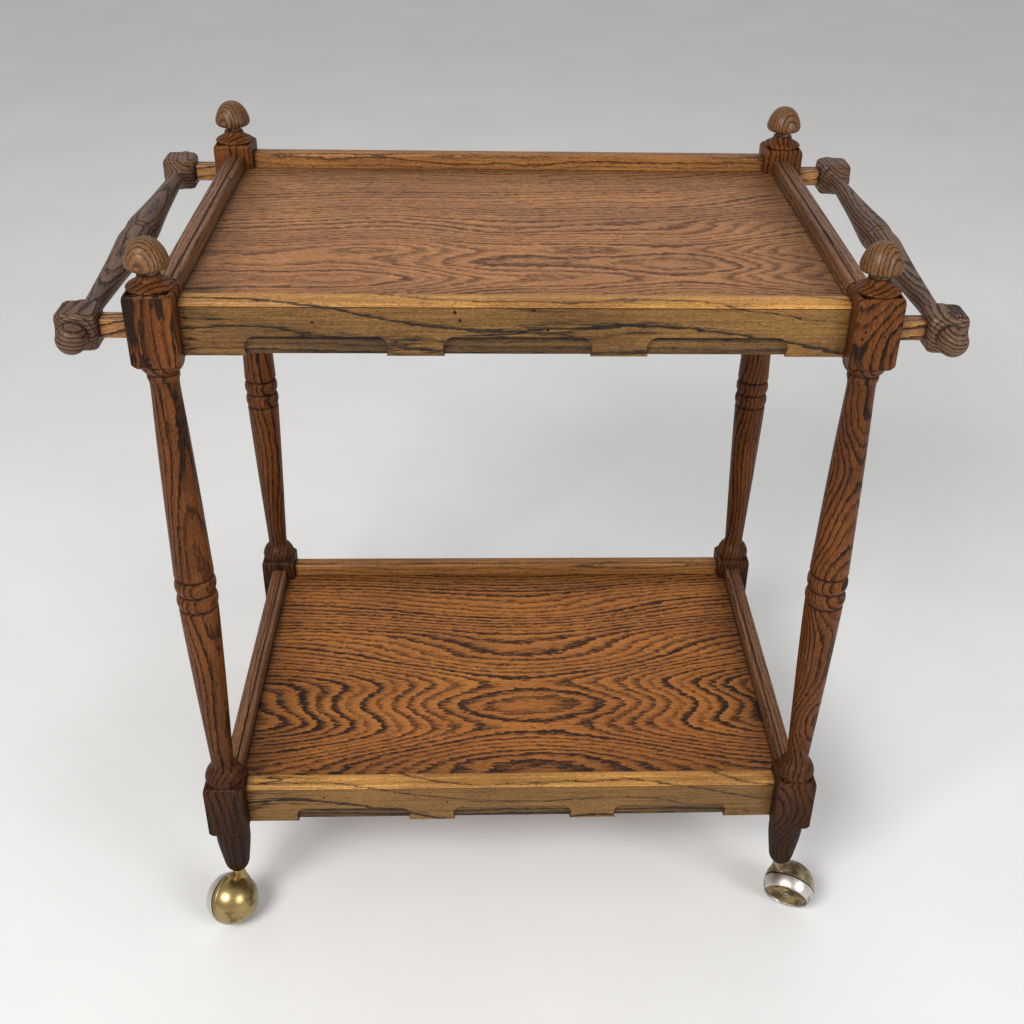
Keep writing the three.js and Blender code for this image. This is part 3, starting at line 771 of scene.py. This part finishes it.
def nosed_section(top, bottom, inner, outer):
    """An apron's section: a stepped top and a rounded nosing, over a fine quirk."""
    nose = 4.2
    # Third entries: grime with painted shade in the quirk, and a painted highlight with edge wear
    # along the nosing and top step.
    return [
        (inner, bottom), (outer - 0.6, bottom), (outer, bottom + 0.6), (outer, top - 6.4),
        (outer, top - 5.8), (outer - 0.8, top - 5.5, 0.8), (outer - 0.8, top - 5.1, 0.5),
        (outer, top - 4.8, -1), (outer - 0.1, top - 4, -1),
        *((y, z, -0.6) for y, z in arc((outer - nose, top - nose - 0.5), nose, 16, 84, 8)),
        (inner + 8.4, top - 0.4, -0.7), (inner + 8, top, -1), (inner + 6.8, top, -0.9),
        (inner + 1.2, top, -0.6), (inner, top - 1.2),
    ]


def make_rail(tier, side, turn, stain, seed):
    """A beaded rail; turn is the way its outer face looks, in degrees from +Y."""
    node = f"{tier}_{side}_rail"
    low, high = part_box(node)
    long_way = 0 if side == "back" else 1
    outer = max(abs(low[1 - long_way]), abs(high[1 - long_way])) / MM
    inner = min(abs(low[1 - long_way]), abs(high[1 - long_way])) / MM
    reach = high[long_way] / MM - TENON
    section = beaded_section(high.z / MM, low.z / MM, inner, outer)
    points, faces, grime_shade_glint = prism(section, -reach, reach)
    heart = ((inner + outer) / 2 + RAIL_HEART[0], high.z / MM + RAIL_HEART[1])
    look = wood("oak_" + node, stain, 0, seed, heart, (0.02, 0.02), ring=3.6, warp=(7, 2),
                rough=1.2, early=0.36, contrast=0.75, ends=reach, gloss=0.44)
    stand = Matrix.Rotation(math.radians(turn), 4, "Z")
    rail = build("beaded_" + node, points, faces, look, stand, grime_shade_glint)
    bevel(rail, 0.5)
    settle(rail)
    hand_over(rail, "frame", "rail_oak", node)


# The three scoops in each front apron, from the left: their ends in mm along X.
SCOOPS = ((-218.5, -104), (-60, 60.5), (104.5, 219.5))
SCOOP_DEPTH = 5
SCOOP_RISE = 17
SCOOP_R = 9
# Small flight holes in the aprons' faces: x, y, z and radius, before the apron is turned.
APRON_HOLES = {
    "top": [(50, 199.5, 697, 1.9), (46, 199.5, 690, 1.8), (-12.5, 199.5, 699, 2),
            (-24, 199.5, 682, 1.7), (163, 199.5, 688, 1.5), (77, 199.5, 664, 1.4)],
    "shelf": [(-118, 199.5, 163, 1.6), (66, 199.5, 158, 1.4), (190, 199.5, 166, 1.5)],
}


def scoop_outline(left, right, bottom):
    """One scoop's outline before the apron is turned, so mirrored in X."""
    middle = bottom + SCOOP_RISE - SCOOP_R
    outline = [(-right + 1.6, bottom - 1), (-left - 1.6, bottom - 1), (-left - 0.2, middle - 3)]
    outline += arc((-left - SCOOP_R, middle), SCOOP_R, 0, 90, 12)
    outline += arc((-right + SCOOP_R, middle), SCOOP_R, 90, 180, 12)
    outline.append((-right + 0.2, middle - 3))
    return outline


def darken_scoops(apron, bottom, front):
    """Gives the faces inside the scoops the apron's second material, a darker copy for painted
    shade.
    """
    for face in apron.data.polygons:
        _, y, z = face.center / MM
        hidden = front - SCOOP_DEPTH - 0.5 < y < front - 0.9
        if hidden and z < bottom + SCOOP_RISE + 0.5 and face.normal.z > -0.9:
            face.material_index = 1


def make_apron(tier, seed):
    """A front apron with its nosing and scoops, built to face +Y and then turned about."""
    node = tier + "_front_apron"
    low, high = (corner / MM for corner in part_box(node))
    reach = high.x - TENON
    inner, outer = -high.y, -low.y
    points, faces, grime_shade_glint = prism(nosed_section(high.z, low.z, inner, outer), -reach, reach)
    heart = (outer + APRON_HEART[0], low.z + APRON_HEART[1])
    look = wood("oak_" + node, "apron", 0, seed, heart, (0.05, 0.12), ring=19,
                waves=[(2, 330, 5, 0.1)], warp=(12, 3), rough=1.6, early=0.1, contrast=1.3,
                cracks=True, specks=0.16, holes=APRON_HOLES[tier], ends=reach, gloss=0.46)
    # A darker copy of the apron's oak, painted shade inside the scoops, darkest under their top
    # edge.
    shaded_recess = wood("oak_recess_" + tier, "shaded_recess", 0, seed + 3, (inner, high.z), (0.03, 0.02),
                  warp=(8, 2), border=((0, 0), (low.z + 9, low.z + 14), (0, 0)), gloss=0.5)
    stand = Matrix.Rotation(math.pi, 4, "Z")
    apron = build("scooped_" + node, points, faces, look, stand, grime_shade_glint)
    apron.data.materials.append(shaded_recess)
    for left, right in SCOOPS:
        outline = scoop_outline(left, right, low.z)
        near = [(x, outer + 2, z) for x, z in outline]
        far = [(x, outer - SCOOP_DEPTH, z) for x, z in outline]
        points, faces = extrude(near, far)
        combine(apron, build("scoop_tool", points, faces, shaded_recess, stand), "DIFFERENCE")
    bevel(apron, 0.6)
    settle(apron)
    darken_scoops(apron, low.z, outer)
    hand_over(apron, "frame", "apron_oak", node)


def make_tiers():
    for seed, tier in enumerate(("top", "shelf"), 31):
        make_apron(tier, seed)
        make_rail(tier, "back", 0, "rail", seed + 10)
        make_rail(tier, "left", 90, "side", seed + 20)
        make_rail(tier, "right", -90, "side", seed + 30)
    top = wood("oak_top", "top", 0, 3, (-96, 800), (0.1, 0.0), ring=5.8,
               sway=[(2, 640, 19, 0.1), (2, 190, 4, 0.4), (0, 76, 7, 0.3)], warp=(9, 3),
               rough=3.2, early=0.5, contrast=0.95, border=BOARD_EDGE_SHADE, gloss=0.48)
    shelf = wood("oak_shelf", "shelf", 0, 8, (-62, 231), (0.03, 0.0), ring=6.6,
                 sway=[(2, 740, 50, 0.22), (0, 84, 9.5, 0)], warp=(6, 2.2), rough=3,
                 early=0.55, contrast=1.2, border=BOARD_EDGE_SHADE, gloss=0.48)
    dress("top_panel", top)
    dress("shelf_panel", shelf)


# ---------------------------------------------------------- handles and stretchers

HANDLE_HALF = [
    (14.2, 0), (14.2, 2.6, 1), (12.7, 3.9, 1), (12.9, 5.2, 1), (14.4, 6.6, 1), (14.9, 16),
    (14.6, 26), (13.6, 40), (12.1, 62), (10.6, 88), (9.3, 118), (8.1, 146), (7.9, 164),
    (9, 170.2), (11.6, 174), (14, 176.6), (15, 178.6), (15, 180.4), (15.2, 210.2),
    (14.9, 211.8), (13.6, 212.8, 1), (9.6, 213.4, 1), (10.8, 214.8), (12, 218), (12.2, 221.4),
    (11, 226.2), (8, 230.2), (4, 232.2), (0, 232.6, 1),
]
HANDLE_BLOCK = (180.5, 210)
HANDLE_SHAPE = {"width": 31.5, "corner": 4, "ease": 10, "edge": 2.6, "cut": 5.5}
# A stretcher is square between its round tenons, which are hidden.
BAR_HALF = 8
BAR_TENON = 12


def make_handles():
    mirrored = [(radius, -s, *flag) for radius, s, *flag in HANDLE_HALF[:0:-1]]
    blocks = (HANDLE_BLOCK, (-HANDLE_BLOCK[1], -HANDLE_BLOCK[0]))
    points, faces, grime_shade_glint = turned_with_blocks(mirrored + HANDLE_HALF, blocks, **HANDLE_SHAPE)
    lay = Matrix.Rotation(-math.pi / 2, 4, "X")
    for seed, side in enumerate(("left", "right"), 61):
        stand = Matrix.Translation(centre_of("handle_" + side)) @ lay
        look = wood("oak_handle_" + side, "handle", 2, seed, (16, -46), (0.02, 0.04), ring=3.4,
                    waves=[(2, 150, 1.6, 0.3)], warp=(4, 1.4), rough=1, early=0.38, gloss=0.42)
        bar = build("turned_handle_" + side, points, faces, look, stand, grime_shade_glint)
        hand_over(bar, "frame", "handle_oak", "handle_" + side)


def make_stretchers():
    corners = ((-1, -1), (1, -1), (1, 1), (-1, 1))
    square = [(y * BAR_HALF, z * BAR_HALF) for y, z in corners]
    for seed, corner in enumerate(CORNERS, 71):
        node = "stretcher_" + corner
        low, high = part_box(node)
        half = (high.x - low.x) / 2 / MM - BAR_TENON
        points, faces, grime_shade_glint = prism(square, -half, half)
        look = wood("oak_" + node, "stretcher", 0, seed, (14, 22), (0.1, 0.06), ring=5.5,
                    warp=(5, 1.4), rough=1, early=0.3, specks=0.12, ends=half, gloss=0.42)
        stand = Matrix.Translation(centre_of(node))
        bar = build("bar_" + node, points, faces, look, stand, grime_shade_glint)
        bevel(bar, 1.2)
        settle(bar)
        hand_over(bar, "frame", "stretcher_oak", node)


# --------------------------------------------------------------------- casters

BALL_R = 27
SKIN = 1.9
HOLLOW_R = BALL_R - SKIN
# Distances along the axle from the ball's centre: the hood's rim and the tread's two edges.
RIM = -0.7
WHEEL_INNER = 0.7
WHEEL_OUTER = 12

BRASS = (0.37, 0.27, 0.115)
WORN_BRASS = (0.42, 0.345, 0.23)
DISC_BRASS = (0.36, 0.27, 0.12)
BROWN = (0.11, 0.075, 0.035)
NICKEL = (0.6, 0.56, 0.51)
GREY = (0.19, 0.165, 0.14)
STEEL = (0.34, 0.3, 0.24)
RUST = (0.12, 0.09, 0.06)
# Each hood's metal and how worn it is.
FINISH = {
    "front_left": (BRASS, 0.42), "front_right": (WORN_BRASS, 0.8),
    "back_left": (BRASS, 0.6), "back_right": (WORN_BRASS, 0.6),
}

RIM_PROFILE = [
    (25.6, -4.6), (26.1, -3.9), (26.95, -3.3), (27.0, -2.2), (26.9, RIM), (HOLLOW_R, RIM),
]
HORN_PROFILE = [
    (0, 8, 1), (11.2, 8, 1), (10.5, 13), (9, 17.8), (7.4, 22.4), (6.4, 28), (6, 33.2),
    (5.6, 34, 1), (0, 34, 1),
]
TREAD_BACK = [
    (23.9, 12.5, 1), (23.2, 12.7, 1), (22.3, 12.3, 1), (21.9, 11, 1), (21.9, WHEEL_INNER, 1),
    (26.4, WHEEL_INNER, 1),
]
DISC_PROFILE = [
    (2.85, 1, 1), (21.6, 1, 1), (21.6, 10.2, 1), (21.2, 10.8, 1), (20.4, 10.7), (17.4, 8.9),
    (13.5, 8, 1), (12.8, 8.5), (12, 8.1, 1), (9, 7.8), (7.2, 8.2), (6.6, 9.4), (5.8, 9.9, 1),
    (2.85, 9.9, 1), (2.85, 1, 1),
]
AXLE_PROFILE = [
    (0, -20, 1), (2.5, -20, 1), (2.5, 10.3, 1), (4.2, 10.3, 1), (4.4, 10.8), (4, 11.6),
    (2.6, 12.2), (0, 12.4, 1),
]


def ball_arc(start, end, steps, radius=BALL_R):
    """Outline of the ball between two distances along the axle."""
    return [(math.sqrt(radius**2 - z * z), z) for z in np.linspace(start, end, steps + 1)]


def leaning(origin, axle):
    """A frame at the ball's centre whose Z is the axle, pointing out of the wheel."""
    z = Vector(axle).normalized()
    x = Vector((0, 0, 1)).cross(z).normalized()
    turn = Matrix((x, z.cross(x), z)).transposed().to_4x4()
    return Matrix.Translation(origin) @ turn


def make_hood(ball, stem, look, name):
    """Half a hollow ball with a rolled rim, and the horn up to the stem."""
    outside = [(0, -BALL_R)] + ball_arc(-26.7, -5.4, 26)
    inside = ball_arc(RIM, -24.6, 14, HOLLOW_R)[1:] + [(0, -HOLLOW_R)]
    profile = [(r, z, 1) for r, z in outside + RIM_PROFILE + inside]
    points, faces, grime_shade_glint = lathe(profile, facets=96)
    shell = build(name, points, faces, look, ball, grime_shade_glint)
    points, faces, _ = lathe(HORN_PROFILE, facets=64)
    stand = Matrix.Translation((stem.x, stem.y, ball.translation.z))
    horn = build("horn", points, faces, look, stand)
    # The horn is kept to the hood's side of the ball, and out of the hollow in it.
    side = [(0, -40, 1), (60, -40, 1), (60, RIM - 0.02, 1), (0, RIM - 0.02, 1)]
    points, faces, _ = lathe(side, facets=48)
    combine(horn, build("side", points, faces, look, ball), "INTERSECT")
    core = [(0, 0.4 - HOLLOW_R, 1)]
    core += [(r, z, 1) for r, z in ball_arc(-24.9, 24.9, 30, HOLLOW_R + 0.5)]
    core += [(0, HOLLOW_R - 0.4, 1)]
    points, faces, _ = lathe(core)
    combine(horn, build("core", points, faces, look, ball), "DIFFERENCE")
    combine(shell, horn, "UNION")
    return shell


def make_wheel(corner, ball, worn, seed):
    """The tread, which is the ball's other half, and the dished disc inside it."""
    nickel = metal("nickel_tread_" + corner, NICKEL, GREY, worn * 0.7, 0.33, seed + 5)
    tread = [(r, z, 1) for r, z in ball_arc(WHEEL_INNER, WHEEL_OUTER, 16)]
    points, faces, grime_shade_glint = lathe(tread + TREAD_BACK + tread[:1], facets=112)
    band = build("rolling_tread_" + corner, points, faces, nickel, ball, grime_shade_glint)
    hand_over(band, "wheel_" + corner, "nickel", "caster_tread_" + corner)
    brass = metal("brass_disc_" + corner, DISC_BRASS, BROWN, 0.8, 0.4, seed + 9)
    points, faces, grime_shade_glint = lathe(DISC_PROFILE, facets=80)
    disc = build("dished_disc_" + corner, points, faces, brass, ball, grime_shade_glint)
    hand_over(disc, "wheel_" + corner, "brass", "caster_disc_" + corner)


def make_casters():
    for seed, corner in enumerate(CORNERS, 81):
        stem = Vector(JOINTS["swivel_" + corner]["pos_m"])
        roll = JOINTS["roll_" + corner]
        ball = leaning(roll["pos_m"], roll["axis"])
        plating, worn = FINISH[corner]
        brass = metal("brass_hood_" + corner, plating, BROWN, worn, 0.3, seed)
        hood = make_hood(ball, stem, brass, "domed_hood_" + corner)
        hand_over(hood, "swivel_" + corner, "brass", "caster_hood_" + corner)
        make_wheel(corner, ball, worn, seed)
        steel = metal("steel_" + corner, STEEL, RUST, 0.8, 0.42, seed)
        points, faces, _ = lathe(AXLE_PROFILE, facets=40)
        axle = build("domed_axle_" + corner, points, faces, steel, ball)
        hand_over(axle, "swivel_" + corner, "steel", "caster_axle_" + corner)
        dress("caster_stem_" + corner, steel)
        dress("caster_socket_" + corner, brass)


place_camera()
light_scene()
lay_floor()
make_posts()
make_tiers()
make_handles()
make_stretchers()
make_casters()
